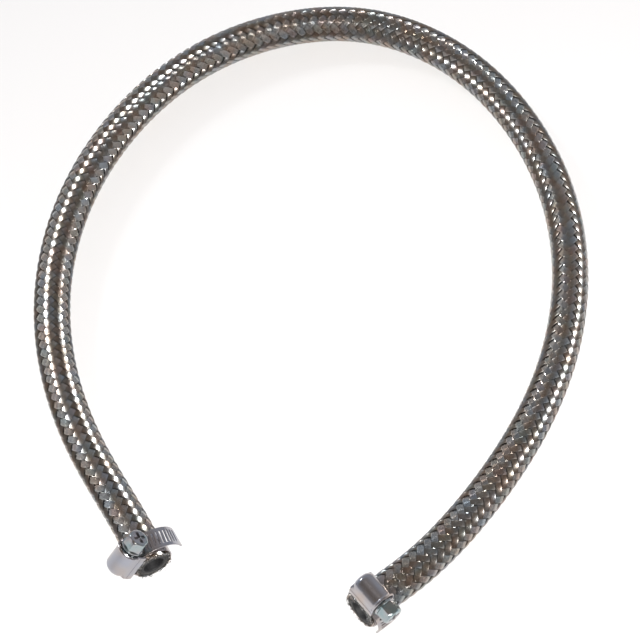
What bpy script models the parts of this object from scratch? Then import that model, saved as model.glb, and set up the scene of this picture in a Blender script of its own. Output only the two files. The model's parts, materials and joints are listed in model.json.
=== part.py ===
"""Braided rubber hose with a worm-drive hose clip on each plain end.

The hose lies on a level surface in one open loop. It is built up from the bore
outwards: a rubber tube, a textile reinforcement, a rubber cover and a braid of
steel wire. Each clip is a steel band, a slotted band tail, a pressed housing and
a worm screw with a hexagon head.

Units are metres, +Z is up, and the hose rests on z = 0.
"""

import math

import bmesh
import bpy
import numpy as np
from mathutils import Matrix, Vector

# --------------------------------------------------------------- hose sizes
BORE_RADIUS = 0.00395
HOSE_RADIUS = 0.0070
LAYERS = (  # name, outer radius, wall thickness, colour, roughness, metallic
    ("inner_tube", 0.00500, 0.00500 - BORE_RADIUS, (0.020, 0.020, 0.022), 0.70, 0.0),
    ("textile_reinforcement", 0.00560, 0.00035, (0.45, 0.42, 0.36), 0.90, 0.0),
    ("rubber_cover", 0.00625, 0.00040, (0.025, 0.025, 0.027), 0.65, 0.0),
    ("steel_braid", HOSE_RADIUS, 0.00050, (0.56, 0.54, 0.51), 0.30, 1.0),
)
TUBE_POINTS = 46        # stations along the hose
END_FLARE = 0.015       # the cut ends spring open by this share of the radius
FLARE_LENGTH = 0.0012   # over this length
LIP_LENGTH = 0.0006     # the last stretch before the cut is straight-sided, so the cut is flat
ROUTE = (               # the hose's centre line, from the left end to the right end
    (-0.0570, -0.1125, 0.0080),
    (-0.0630, -0.1017, 0.0080),
    (-0.0690, -0.0909, 0.0079),
    (-0.0822, -0.0673, 0.0073),
    (-0.0932, -0.0403, 0.0070),
    (-0.0995, -0.0020, 0.0070),
    (-0.0947, 0.0378, 0.0070),
    (-0.0784, 0.0755, 0.0070),
    (-0.0514, 0.1069, 0.0070),
    (-0.0170, 0.1257, 0.0070),
    (0.0211, 0.1292, 0.0070),
    (0.0574, 0.1125, 0.0070),
    (0.0829, 0.0816, 0.0070),
    (0.0970, 0.0435, 0.0070),
    (0.0990, 0.0035, 0.0070),
    (0.0901, -0.0355, 0.0070),
    (0.0718, -0.0718, 0.0070),
    (0.0546, -0.0957, 0.0073),
    (0.0363, -0.1150, 0.0079),
    (0.0268, -0.1227, 0.0080),
    (0.0172, -0.1305, 0.0080),
)

# --------------------------------------------------------------- clip sizes
# In a clip's own frame X runs along the screw towards its head, Z runs from the
# hose's centre line to the housing, and Y runs along the hose away from its end.
CLIP_INSET = 0.0050       # clip's middle to the cut end of the hose
BAND_WIDTH = 0.0080
BAND_THICKNESS = 0.0005
BAND_RADIUS = 0.0075      # middle of the strip, round the hose
STRIP_HEIGHT = 0.0082     # middle of the slotted strip, under the worm
BAND_START = math.radians(-30.0)   # anchored end, measured from Z towards X
BAND_RISE_START = math.radians(296.0)
BAND_RISE_END = math.radians(330.0)
BAND_END = math.radians(352.0)     # the loop stops inside the housing
BAND_STATIONS = 48
SLOT_PITCH = 0.0016
SLOT_LENGTH = 0.0046      # across the band
TAIL_START = math.radians(-5.0)    # from Z towards X, about the tail's own centre

SCREW_HEIGHT = 0.0112     # screw's axis above the hose's centre line
WORM_CREST = 0.0026
WORM_ROOT = 0.0019
WORM_START, WORM_END = -0.0046, 0.0042
PIN_RADIUS = 0.0012
PIN_END = -0.0054
COLLAR_RADIUS = 0.0042
COLLAR_START, COLLAR_END = 0.0064, 0.0074
HEX_ACROSS_FLATS = 0.0070
HEAD_END = 0.0122
HEAD_CHAMFER = 0.0008
SCREW_SIDES = 18
RECESS_WIDTH = 0.0011
RECESS_DEPTH = 0.0014
RECESS_LENGTH = 0.0056

HOUSING_START, HOUSING_END = -0.0062, 0.0060
HOUSING_WALL = 0.0006
BARREL_RADIUS = 0.0046    # outside of the tunnel over the worm
FOOT_HALF_WIDTH = 0.0050
FOOT_BOTTOM = 0.0073
SHOULDER_HEIGHT = 0.0094

TWO_PI = 2.0 * math.pi


class ClipPose:
    """Where one clip sits and how its tail is sprung."""

    def __init__(self, name, station, lean, tail_radius, tail_end):
        self.name = name                # "left" or "right"
        self.station = station          # 0 = start of the route, -1 = its end
        self.lean = math.radians(lean)  # screw's rise above the level
        self.tail_radius = tail_radius
        self.tail_end = math.radians(tail_end)


CLIPS = (
    ClipPose("left", 0, 55.0, 0.0106, 128.0),
    ClipPose("right", -1, -4.0, 0.0096, 119.0),
)


# ------------------------------------------------------------------ helpers
def clear_scene():
    for old in list(bpy.data.objects):
        bpy.data.objects.remove(old, do_unlink=True)


def make_material(name, colour, roughness, metallic):
    material = bpy.data.materials.new(name)
    material.use_nodes = True
    shader = material.node_tree.nodes["Principled BSDF"]
    shader.inputs["Base Color"].default_value = (*colour, 1.0)
    shader.inputs["Roughness"].default_value = roughness
    shader.inputs["Metallic"].default_value = metallic
    return material


def link(obj, material, parent=None):
    bpy.context.scene.collection.objects.link(obj)
    obj.data.materials.append(material)
    if parent is not None:
        obj.parent = parent
    return obj


def mesh_from_rings(name, rings, closed_path=False):
    """A mesh from equal rings of points; open paths get a flat cap at each end."""
    count, sides = len(rings), len(rings[0])
    bm = bmesh.new()
    verts = [[bm.verts.new(point) for point in ring] for ring in rings]
    for i in range(count if closed_path else count - 1):
        a, b = verts[i], verts[(i + 1) % count]
        for j in range(sides):
            k = (j + 1) % sides
            bm.faces.new((a[j], a[k], b[k], b[j]))
    if not closed_path:
        bm.faces.new(reversed(verts[0]))
        bm.faces.new(verts[-1])
    bmesh.ops.recalc_face_normals(bm, faces=bm.faces)
    mesh = bpy.data.meshes.new(name)
    bm.to_mesh(mesh)
    bm.free()
    mesh.shade_smooth()
    mesh.set_sharp_from_angle(angle=math.radians(35.0))
    return mesh


def sheet_object(name, grid, skip, thickness, material, parent):
    """A thin sheet on a grid of points, without the skipped cells, given a wall."""
    rows, columns = len(grid), len(grid[0])
    bm = bmesh.new()
    verts = [[bm.verts.new(point) for point in row] for row in grid]
    for i in range(rows - 1):
        for j in range(columns - 1):
            if not skip(i, j):
                bm.faces.new((verts[i][j], verts[i][j + 1], verts[i + 1][j + 1], verts[i + 1][j]))
    mesh = bpy.data.meshes.new(name)
    bm.to_mesh(mesh)
    bm.free()
    mesh.shade_smooth()
    mesh.set_sharp_from_angle(angle=math.radians(35.0))
    obj = link(bpy.data.objects.new(name, mesh), material, parent)
    wall = obj.modifiers.new("Wall", "SOLIDIFY")
    wall.thickness = thickness
    wall.offset = 0.0
    return obj


# --------------------------------------------------------------------- hose
def natural_spline(points, samples):
    """A natural cubic spline through the points, as closely spaced samples."""
    knots = np.array(points, float)
    spans = np.linalg.norm(np.diff(knots, axis=0), axis=1)
    marks = np.concatenate(([0.0], np.cumsum(spans)))
    size = len(knots)
    matrix = np.eye(size)
    right = np.zeros_like(knots)
    for i in range(1, size - 1):
        matrix[i, i - 1:i + 2] = spans[i - 1], 2.0 * (spans[i - 1] + spans[i]), spans[i]
        right[i] = 6.0 * ((knots[i + 1] - knots[i]) / spans[i] - (knots[i] - knots[i - 1]) / spans[i - 1])
    bend = np.linalg.solve(matrix, right)
    where = np.linspace(0.0, marks[-1], samples)
    k = np.clip(np.searchsorted(marks, where, side="right") - 1, 0, size - 2)
    span = spans[k][:, None]
    back = (marks[k + 1] - where)[:, None] / span
    ahead = 1.0 - back
    curve = (back ** 3 - back) * bend[k] + (ahead ** 3 - ahead) * bend[k + 1]
    return back * knots[k] + ahead * knots[k + 1] + curve * span ** 2 / 6.0


def hose_stations():
    """Points along the hose an equal way apart, with two more at each flared end."""
    fine = natural_spline(ROUTE, 6000)
    steps = np.linalg.norm(np.diff(fine, axis=0), axis=1)
    run = np.concatenate(([0.0], np.cumsum(steps)))
    inner = np.linspace(FLARE_LENGTH, run[-1] - FLARE_LENGTH, TUBE_POINTS - 4)
    where = np.concatenate(([0.0, LIP_LENGTH], inner, [run[-1] - LIP_LENGTH, run[-1]]))
    return np.stack([np.interp(where, run, fine[:, axis]) for axis in range(3)], axis=1)


def make_hose_layer(name, outer_radius, wall, material, stations):
    """One layer of the hose: a bevelled curve given a wall that leaves its bore open."""
    curve = bpy.data.curves.new(name, "CURVE")
    curve.dimensions = "3D"
    curve.twist_mode = "Z_UP"
    curve.bevel_depth = outer_radius
    curve.bevel_resolution = 4
    curve.use_fill_caps = False
    spline = curve.splines.new("POLY")
    spline.points.add(len(stations) - 1)
    for point, place in zip(spline.points, stations):
        point.co = (*place, 1.0)
    for number in (0, 1, -2, -1):
        spline.points[number].radius = 1.0 + END_FLARE
    obj = link(bpy.data.objects.new(name, curve), material)
    shell = obj.modifiers.new("Wall", "SOLIDIFY")
    shell.thickness = wall
    shell.offset = -1.0
    shell.use_even_offset = True
    return obj


# -------------------------------------------------------------------- clips
def clip_frame(pose, stations):
    """The matrix that carries a clip's own frame to its place on the hose."""
    end = Vector(stations[pose.station])
    inner = Vector(stations[2 if pose.station == 0 else -3])
    outward = (end - inner).normalized()
    level = outward.cross(Vector((0.0, 0.0, 1.0))).normalized() * -1.0
    upright = level.cross(outward).normalized() * -1.0
    if upright.z < 0.0:
        upright.negate()
    screw = math.cos(pose.lean) * level + math.sin(pose.lean) * upright
    height = screw.cross(outward * -1.0)
    frame = Matrix((screw, outward * -1.0, height)).transposed().to_4x4()
    frame.translation = end - CLIP_INSET * outward
    return frame


def band_grid():
    """The loop of the band: a spiral that closes under the worm, three cells wide."""
    grid = []
    for angle in np.linspace(BAND_START, BAND_END, BAND_STATIONS):
        rise = np.clip((angle - BAND_RISE_START) / (BAND_RISE_END - BAND_RISE_START), 0.0, 1.0)
        rise = rise * rise * (3.0 - 2.0 * rise)
        radius = BAND_RADIUS + (STRIP_HEIGHT - BAND_RADIUS) * rise
        grid.append([
            (radius * math.sin(angle), across, radius * math.cos(angle))
            for across in (-BAND_WIDTH / 2, BAND_WIDTH / 2)
        ])
    return grid


def tail_grid(pose):
    """The slotted tail: an arc about its own centre, as lands and slots by turns."""
    half_slot = SLOT_PITCH / 4.0 / pose.tail_radius
    angles = [TAIL_START]
    slot = TAIL_START + 4.0 * half_slot
    while slot + 3.0 * half_slot < pose.tail_end:
        angles += [slot - half_slot, slot + half_slot]
        slot += 4.0 * half_slot
    angles.append(pose.tail_end)
    centre = STRIP_HEIGHT - pose.tail_radius
    sides = (-BAND_WIDTH / 2, -SLOT_LENGTH / 2, SLOT_LENGTH / 2, BAND_WIDTH / 2)
    return [
        [(pose.tail_radius * math.sin(a), side, centre + pose.tail_radius * math.cos(a)) for side in sides]
        for a in angles
    ]


def housing_grid():
    """The pressed housing: feet beside the band, shoulders and a tunnel over the worm."""
    mid = BARREL_RADIUS - HOUSING_WALL / 2.0
    arc = np.radians(np.linspace(0.0, 180.0, 11))
    arch = [(mid * math.cos(a), SCREW_HEIGHT + mid * math.sin(a)) for a in arc]
    foot = [(FOOT_HALF_WIDTH, FOOT_BOTTOM), (FOOT_HALF_WIDTH, SHOULDER_HEIGHT - 0.0006),
            (FOOT_HALF_WIDTH - 0.0004, SHOULDER_HEIGHT), (mid + 0.0003, SHOULDER_HEIGHT + 0.0005)]
    outline = foot + arch + [(-y, z) for y, z in reversed(foot)]
    stations = (  # place along X, and how much of the tunnel's radius is left there
        (HOUSING_START, 0.60), (HOUSING_START + 0.0005, 0.82), (HOUSING_START + 0.0013, 0.96),
        (HOUSING_START + 0.0024, 1.0), (0.0, 1.0), (HOUSING_END - 0.0014, 1.0),
        (HOUSING_END - 0.0006, 1.06), (HOUSING_END, 1.16),
    )
    grid = []
    for x, share in stations:
        row = []
        for index, (y, z) in enumerate(outline):
            if len(foot) <= index < len(foot) + len(arch):
                y, z = y * share, SCREW_HEIGHT + (z - SCREW_HEIGHT) * share
            row.append((x, y, z))
        grid.append(row)
    return grid


def screw_rings():
    """The worm screw about X: pin, helical worm, neck, collar and chamfered hexagon."""
    turns = np.linspace(0.0, TWO_PI, SCREW_SIDES, endpoint=False)
    flat = HEX_ACROSS_FLATS / 2.0
    corner = flat / math.cos(math.pi / 6.0)
    hexagon = flat / np.cos((turns + math.pi / 6.0) % (math.pi / 3.0) - math.pi / 6.0)
    profile = [(PIN_END, PIN_RADIUS), (WORM_START - 0.0001, PIN_RADIUS)]
    rings = [(x, np.full(SCREW_SIDES, r)) for x, r in profile]
    for x in np.arange(WORM_START, WORM_END + 1e-6, SLOT_PITCH / 4.0):
        phase = x / SLOT_PITCH * TWO_PI - turns
        rings.append((x, (WORM_CREST + WORM_ROOT) / 2 + (WORM_CREST - WORM_ROOT) / 2 * np.cos(phase)))
    neck = [(WORM_END + 0.0003, WORM_ROOT), (COLLAR_START - 0.0001, WORM_ROOT),
            (COLLAR_START, COLLAR_RADIUS - 0.0002), (COLLAR_START + 0.0002, COLLAR_RADIUS),
            (COLLAR_END - 0.0003, COLLAR_RADIUS), (COLLAR_END - 0.0001, COLLAR_RADIUS - 0.0002)]
    rings += [(x, np.full(SCREW_SIDES, r)) for x, r in neck]
    rings.append((COLLAR_END, np.minimum(hexagon, corner)))
    for x, limit in ((HEAD_END - HEAD_CHAMFER, corner), (HEAD_END - HEAD_CHAMFER / 2, corner - 0.0003),
                     (HEAD_END, flat - 0.0003)):
        rings.append((x, np.minimum(hexagon, limit)))
    return [
        [(x, r * math.cos(t), r * math.sin(t)) for r, t in zip(radii, turns)]
        for x, radii in rings
    ]


def recess_cutter(name, parent):
    """The cross-shaped driver slot, as a cutter at the end of the screw's head."""
    bm = bmesh.new()
    for size in ((RECESS_LENGTH, RECESS_WIDTH), (RECESS_WIDTH * 1.02, RECESS_LENGTH * 0.62)):
        block = Matrix.Diagonal((2.0 * RECESS_DEPTH, size[0], size[1], 1.0))
        bmesh.ops.create_cube(bm, size=1.0, matrix=Matrix.Translation((HEAD_END, 0.0, 0.0)) @ block)
    mesh = bpy.data.meshes.new(name)
    bm.to_mesh(mesh)
    bm.free()
    cutter = bpy.data.objects.new(name, mesh)
    bpy.context.scene.collection.objects.link(cutter)
    cutter.parent = parent
    cutter.location = (0.0, 0.0, SCREW_HEIGHT)
    cutter.hide_render = True
    cutter.display_type = "WIRE"
    return cutter


def make_clip(pose, stations, steel, plated):
    """One clip under an empty that stands on the hose's centre line."""
    seat = bpy.data.objects.new(pose.name + "_clip_seat", None)
    bpy.context.scene.collection.objects.link(seat)
    seat.matrix_world = clip_frame(pose, stations)

    sheet_object(pose.name + "_band", band_grid(), lambda i, j: False, BAND_THICKNESS, steel, seat)
    sheet_object(
        pose.name + "_housing", housing_grid(), lambda i, j: False, HOUSING_WALL, steel, seat
    )

    # The tail feeds round its own centre, so its empty stands on that axis.
    centre = bpy.data.objects.new(pose.name + "_tail_centre", None)
    bpy.context.scene.collection.objects.link(centre)
    centre.parent = seat
    centre.location = (0.0, 0.0, STRIP_HEIGHT - pose.tail_radius)
    grid = [[(x, y, z - centre.location.z) for x, y, z in row] for row in tail_grid(pose)]
    last = len(grid) - 2
    sheet_object(
        pose.name + "_band_tail", grid, lambda i, j: j == 1 and i % 2 == 1 and i < last,
        BAND_THICKNESS, steel, centre,
    )

    screw_mesh = mesh_from_rings(pose.name + "_worm_screw", screw_rings())
    screw = link(bpy.data.objects.new(pose.name + "_worm_screw", screw_mesh), plated, seat)
    screw.location = (0.0, 0.0, SCREW_HEIGHT)
    cut = screw.modifiers.new("Driver recess", "BOOLEAN")
    cut.operation = "DIFFERENCE"
    cut.solver = "EXACT"
    cut.use_self = True
    cut.object = recess_cutter(pose.name + "_recess_cutter", seat)


def main():
    clear_scene()
    stations = hose_stations()
    for name, outer_radius, wall, colour, roughness, metallic in LAYERS:
        material = make_material(name, colour, roughness, metallic)
        make_hose_layer(name, outer_radius, wall, material, stations)
    steel = make_material("zinc_plated_strip", (0.66, 0.66, 0.67), 0.28, 1.0)
    plated = make_material("zinc_plated_screw", (0.60, 0.64, 0.66), 0.22, 1.0)
    for pose in CLIPS:
        make_clip(pose, stations, steel, plated)


main()
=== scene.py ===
"""Looks of a steel-braided rubber hose with a worm-drive clip on each plain end.

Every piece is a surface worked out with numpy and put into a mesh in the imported
model's own frame (metres, +Z up). The hose is a set of tubes under 24 woven
strands, each strand a flat ribbon of parallel wires. A clip is a band, a slotted
band tail, a pressed housing and a worm screw.
"""

from __future__ import annotations

import json
import logging
import math
from dataclasses import dataclass, field
from enum import Enum

import bmesh
import bpy
import numpy as np
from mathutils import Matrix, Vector


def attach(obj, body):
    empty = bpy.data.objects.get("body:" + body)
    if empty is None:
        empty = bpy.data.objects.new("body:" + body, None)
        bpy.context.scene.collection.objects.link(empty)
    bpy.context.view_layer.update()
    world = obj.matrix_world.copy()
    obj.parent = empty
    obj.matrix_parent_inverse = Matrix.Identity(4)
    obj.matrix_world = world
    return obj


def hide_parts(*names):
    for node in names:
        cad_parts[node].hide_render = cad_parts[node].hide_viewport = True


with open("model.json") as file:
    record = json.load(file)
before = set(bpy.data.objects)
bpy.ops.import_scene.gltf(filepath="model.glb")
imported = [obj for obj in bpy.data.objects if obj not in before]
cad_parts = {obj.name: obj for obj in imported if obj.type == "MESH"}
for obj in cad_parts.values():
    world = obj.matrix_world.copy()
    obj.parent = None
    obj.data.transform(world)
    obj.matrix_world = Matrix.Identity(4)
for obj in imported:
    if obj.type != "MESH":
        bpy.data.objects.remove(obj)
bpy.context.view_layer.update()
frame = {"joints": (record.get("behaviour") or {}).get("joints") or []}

log = logging.getLogger("hose")

TWO_PI = 2.0 * math.pi
MM = 0.001

# The hose's centre line from the left end to the right end, as in the part's source.
ROUTE = (
    (-0.0570, -0.1125, 0.0080),
    (-0.0630, -0.1017, 0.0080),
    (-0.0690, -0.0909, 0.0079),
    (-0.0822, -0.0673, 0.0073),
    (-0.0932, -0.0403, 0.0070),
    (-0.0995, -0.0020, 0.0070),
    (-0.0947, 0.0378, 0.0070),
    (-0.0784, 0.0755, 0.0070),
    (-0.0514, 0.1069, 0.0070),
    (-0.0170, 0.1257, 0.0070),
    (0.0211, 0.1292, 0.0070),
    (0.0574, 0.1125, 0.0070),
    (0.0829, 0.0816, 0.0070),
    (0.0970, 0.0435, 0.0070),
    (0.0990, 0.0035, 0.0070),
    (0.0901, -0.0355, 0.0070),
    (0.0718, -0.0718, 0.0070),
    (0.0546, -0.0957, 0.0073),
    (0.0363, -0.1150, 0.0079),
    (0.0268, -0.1227, 0.0080),
    (0.0172, -0.1305, 0.0080),
)


class Slot(Enum):
    """The record's material slots."""

    RUBBER = "rubber"
    TEXTILE = "textile"
    BRAID = "braid_wire"
    STRIP = "zinc_strip"
    SCREW = "zinc_screw"


class Hand(Enum):
    """Which way a strand of the braid winds round the hose."""

    RIGHT = 1
    LEFT = -1


# ------------------------------------------------------------------- meshes
def grid_faces(rows: int, columns: int, closed: bool, keep: np.ndarray | None = None) -> np.ndarray:
    """Quads between neighbouring rows and columns of a grid of points.

    Each quad runs row, next row, next row and next column, next column, so its
    normal is the row direction crossed with the column direction.

    Args:
        rows: number of rows of points.
        columns: number of points in a row.
        closed: whether the last column joins the first.
        keep: optional mask of the cells to keep.

    Returns:
        An array of quads, four point numbers each.
    """
    index = np.arange(rows * columns).reshape(rows, columns)
    ahead = np.roll(index, -1, axis=1)
    if not closed:
        index, ahead = index[:, :-1], ahead[:, :-1]
    quads = np.stack([index[:-1], index[1:], ahead[1:], ahead[:-1]], axis=-1)
    return quads[keep] if keep is not None else quads.reshape(-1, 4)


def mesh_object(
    name: str,
    points: np.ndarray,
    quads: np.ndarray,
    caps: list[np.ndarray] | None = None,
    sharp_degrees: float = 40.0,
) -> bpy.types.Object:
    """A mesh object at the origin from points, quads and optional end polygons.

    Args:
        name: the object's name.
        points: point places, shape (n, 3), in metres.
        quads: faces of four points, shape (m, 4).
        caps: point numbers of each closing polygon.
        sharp_degrees: edges that turn by more than this stay sharp.

    Returns:
        The linked object, shaded smooth.
    """
    caps = caps or []
    mesh = bpy.data.meshes.new(name)
    loops = np.concatenate([quads.ravel(), *caps]).astype(np.int32)
    sizes = np.concatenate([np.full(len(quads), 4), [len(cap) for cap in caps]]).astype(np.int32)
    starts = np.concatenate([[0], np.cumsum(sizes)[:-1]]).astype(np.int32)
    mesh.vertices.add(len(points))
    mesh.vertices.foreach_set("co", points.astype(np.float32).ravel())
    mesh.loops.add(len(loops))
    mesh.loops.foreach_set("vertex_index", loops)
    mesh.polygons.add(len(sizes))
    mesh.polygons.foreach_set("loop_start", starts)
    mesh.update(calc_edges=True)
    mesh.validate()
    mesh.shade_smooth()
    mesh.set_sharp_from_angle(angle=math.radians(sharp_degrees))
    obj = bpy.data.objects.new(name, mesh)
    bpy.context.scene.collection.objects.link(obj)
    return obj


def solid_modifiers(obj: bpy.types.Object, wall: float, bevel: float) -> None:
    """Gives a sheet a wall centred on it and small rounded edges.

    Args:
        obj: the sheet.
        wall: the wall's thickness in metres.
        bevel: the edge radius in metres.
    """
    solid = obj.modifiers.new("Wall", "SOLIDIFY")
    solid.thickness = wall
    solid.offset = 0.0
    edge = obj.modifiers.new("Edge", "BEVEL")
    edge.width = bevel
    edge.segments = 2
    edge.limit_method = "ANGLE"
    edge.angle_limit = math.radians(50.0)
    edge.harden_normals = False


def add_tint(obj: bpy.types.Object, colours: np.ndarray) -> None:
    """Stores a colour for each point of the mesh, as the attribute named tint.

    Args:
        obj: the mesh object.
        colours: red, green and blue for each point, shape (n, 3).
    """
    layer = obj.data.color_attributes.new("tint", "FLOAT_COLOR", "POINT")
    rgba = np.ones((len(colours), 4), np.float32)
    rgba[:, :3] = colours
    layer.data.foreach_set("color", rgba.ravel())


def smooth_step(value: np.ndarray) -> np.ndarray:
    """Zero below 0, one above 1, and three v squared less two v cubed between."""
    value = np.clip(value, 0.0, 1.0)
    return value * value * (3.0 - 2.0 * value)


def rounded_outline(corners: list[tuple[float, float]], radii: list[float], steps: int) -> np.ndarray:
    """An open outline whose inner corners are turned into arcs.

    Each corner is replaced by a curve that leaves one side and meets the next at
    the corner's radius, a quadratic blend of the two sides.

    Args:
        corners: the outline's corner points.
        radii: how far from each inner corner its curve starts.
        steps: points in each curve.

    Returns:
        The outline's points, shape (n, 2).
    """
    knots = np.array(corners, float)
    out = [knots[:1]]
    share = np.linspace(0.0, 1.0, steps)[:, None]
    for before, corner, after, reach in zip(knots[:-2], knots[1:-1], knots[2:], radii):
        start = corner + (before - corner) / np.linalg.norm(before - corner) * reach
        end = corner + (after - corner) / np.linalg.norm(after - corner) * reach
        out.append((1 - share) ** 2 * start + 2 * share * (1 - share) * corner + share ** 2 * end)
    out.append(knots[-1:])
    return np.concatenate(out)


# ---------------------------------------------------------------- materials
@dataclass(frozen=True)
class MetalFinish:
    """A bright metal with slow colour drift and fine scratches.

    The colour is a base colour pushed towards two others by noise on Object
    coordinates, and the roughness and bump come from a finer noise. The roughness
    varies by roughness_spread of itself to each side. A finish with uses_tint also
    multiplies its colour by the mesh's attribute named tint.
    """

    name: str
    colour: tuple[float, float, float]
    warm: tuple[float, float, float]
    cool: tuple[float, float, float]
    roughness: float
    drift_scale: float
    grain_scale: float
    bump: float
    uses_tint: bool = False
    warm_level: float = 0.36
    cool_level: float = 0.64
    roughness_spread: float = 0.3
    bump_depth: float = 0.02 * MM

    def build(self) -> bpy.types.Material:
        """The node material of this finish."""
        material = bpy.data.materials.new(self.name)
        material.use_nodes = True
        nodes, links = material.node_tree.nodes, material.node_tree.links
        shader = nodes["Principled BSDF"]
        shader.inputs["Metallic"].default_value = 1.0
        place = nodes.new("ShaderNodeTexCoord")
        drift = nodes.new("ShaderNodeTexNoise")
        drift.inputs["Scale"].default_value = self.drift_scale
        drift.inputs["Detail"].default_value = 2.0
        links.new(place.outputs["Object"], drift.inputs["Vector"])
        ramp = nodes.new("ShaderNodeValToRGB")
        ramp.color_ramp.elements[0].position = self.warm_level
        ramp.color_ramp.elements[0].color = (*self.warm, 1.0)
        ramp.color_ramp.elements[1].position = self.cool_level
        ramp.color_ramp.elements[1].color = (*self.cool, 1.0)
        middle = ramp.color_ramp.elements.new(0.5)
        middle.color = (*self.colour, 1.0)
        links.new(drift.outputs["Fac"], ramp.inputs["Fac"])
        colour = ramp.outputs["Color"]
        if self.uses_tint:
            tint = nodes.new("ShaderNodeAttribute")
            tint.attribute_name = "tint"
            product = nodes.new("ShaderNodeMix")
            product.data_type = "RGBA"
            product.blend_type = "MULTIPLY"
            product.inputs["Factor"].default_value = 1.0
            links.new(colour, product.inputs["A"])
            links.new(tint.outputs["Color"], product.inputs["B"])
            colour = product.outputs["Result"]
        links.new(colour, shader.inputs["Base Color"])
        grain = nodes.new("ShaderNodeTexNoise")
        grain.inputs["Scale"].default_value = self.grain_scale
        grain.inputs["Detail"].default_value = 3.0
        links.new(place.outputs["Object"], grain.inputs["Vector"])
        spread = nodes.new("ShaderNodeMapRange")
        spread.inputs["To Min"].default_value = self.roughness * (1.0 - self.roughness_spread)
        spread.inputs["To Max"].default_value = self.roughness * (1.0 + self.roughness_spread)
        links.new(grain.outputs["Fac"], spread.inputs["Value"])
        links.new(spread.outputs["Result"], shader.inputs["Roughness"])
        bump = nodes.new("ShaderNodeBump")
        bump.inputs["Strength"].default_value = self.bump
        bump.inputs["Distance"].default_value = self.bump_depth
        links.new(grain.outputs["Fac"], bump.inputs["Height"])
        links.new(bump.outputs["Normal"], shader.inputs["Normal"])
        return material


@dataclass(frozen=True)
class SoftFinish:
    """Rubber or yarn: a dark, mottled colour with a rough, grainy surface."""

    name: str
    dark: tuple[float, float, float]
    light: tuple[float, float, float]
    roughness: float
    grain_scale: float
    bump: float
    dark_level: float = 0.38
    light_level: float = 0.68
    bump_depth: float = 0.1 * MM

    def build(self) -> bpy.types.Material:
        """The node material of this finish."""
        material = bpy.data.materials.new(self.name)
        material.use_nodes = True
        nodes, links = material.node_tree.nodes, material.node_tree.links
        shader = nodes["Principled BSDF"]
        shader.inputs["Roughness"].default_value = self.roughness
        place = nodes.new("ShaderNodeTexCoord")
        grain = nodes.new("ShaderNodeTexNoise")
        grain.inputs["Scale"].default_value = self.grain_scale
        grain.inputs["Detail"].default_value = 5.0
        links.new(place.outputs["Object"], grain.inputs["Vector"])
        ramp = nodes.new("ShaderNodeValToRGB")
        ramp.color_ramp.elements[0].position = self.dark_level
        ramp.color_ramp.elements[0].color = (*self.dark, 1.0)
        ramp.color_ramp.elements[1].position = self.light_level
        ramp.color_ramp.elements[1].color = (*self.light, 1.0)
        links.new(grain.outputs["Fac"], ramp.inputs["Fac"])
        links.new(ramp.outputs["Color"], shader.inputs["Base Color"])
        bump = nodes.new("ShaderNodeBump")
        bump.inputs["Strength"].default_value = self.bump
        bump.inputs["Distance"].default_value = self.bump_depth
        links.new(grain.outputs["Fac"], bump.inputs["Height"])
        links.new(bump.outputs["Normal"], shader.inputs["Normal"])
        return material


@dataclass
class Finishes:
    """Every material of the object, built once."""

    braid: bpy.types.Material = field(init=False)
    strip: bpy.types.Material = field(init=False)
    screw: bpy.types.Material = field(init=False)
    rubber: bpy.types.Material = field(init=False)
    textile: bpy.types.Material = field(init=False)

    def __post_init__(self) -> None:
        """Builds the five materials."""
        self.braid = MetalFinish(
            "Drawn stainless wire", (0.39, 0.375, 0.355), (0.41, 0.35, 0.31), (0.35, 0.37, 0.38),
            roughness=0.23, drift_scale=180.0, grain_scale=4000.0, bump=0.10, uses_tint=True,
        ).build()
        self.strip = MetalFinish(
            "Zinc-plated strip", (0.40, 0.385, 0.40), (0.42, 0.36, 0.33), (0.37, 0.38, 0.43),
            roughness=0.24, drift_scale=90.0, grain_scale=2500.0, bump=0.15,
        ).build()
        self.screw = MetalFinish(
            "Blue zinc plating", (0.36, 0.40, 0.41), (0.40, 0.38, 0.39), (0.30, 0.38, 0.40),
            roughness=0.20, drift_scale=220.0, grain_scale=3000.0, bump=0.12,
        ).build()
        self.rubber = SoftFinish(
            "Black rubber", (0.012, 0.012, 0.013), (0.035, 0.035, 0.037),
            roughness=0.62, grain_scale=1800.0, bump=0.5,
        ).build()
        self.textile = SoftFinish(
            "Reinforcing yarn", (0.05, 0.048, 0.045), (0.16, 0.15, 0.14),
            roughness=0.85, grain_scale=3500.0, bump=0.8,
        ).build()


def dress(obj: bpy.types.Object, material: bpy.types.Material, body: str) -> bpy.types.Object:
    """Gives a piece its material, and lets it ride on a body.

    Args:
        obj: the piece.
        material: its finish.
        body: the CAD body that carries it.

    Returns:
        The same piece.
    """
    obj.data.materials.clear()
    obj.data.materials.append(material)
    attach(obj, body)
    return obj


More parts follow.
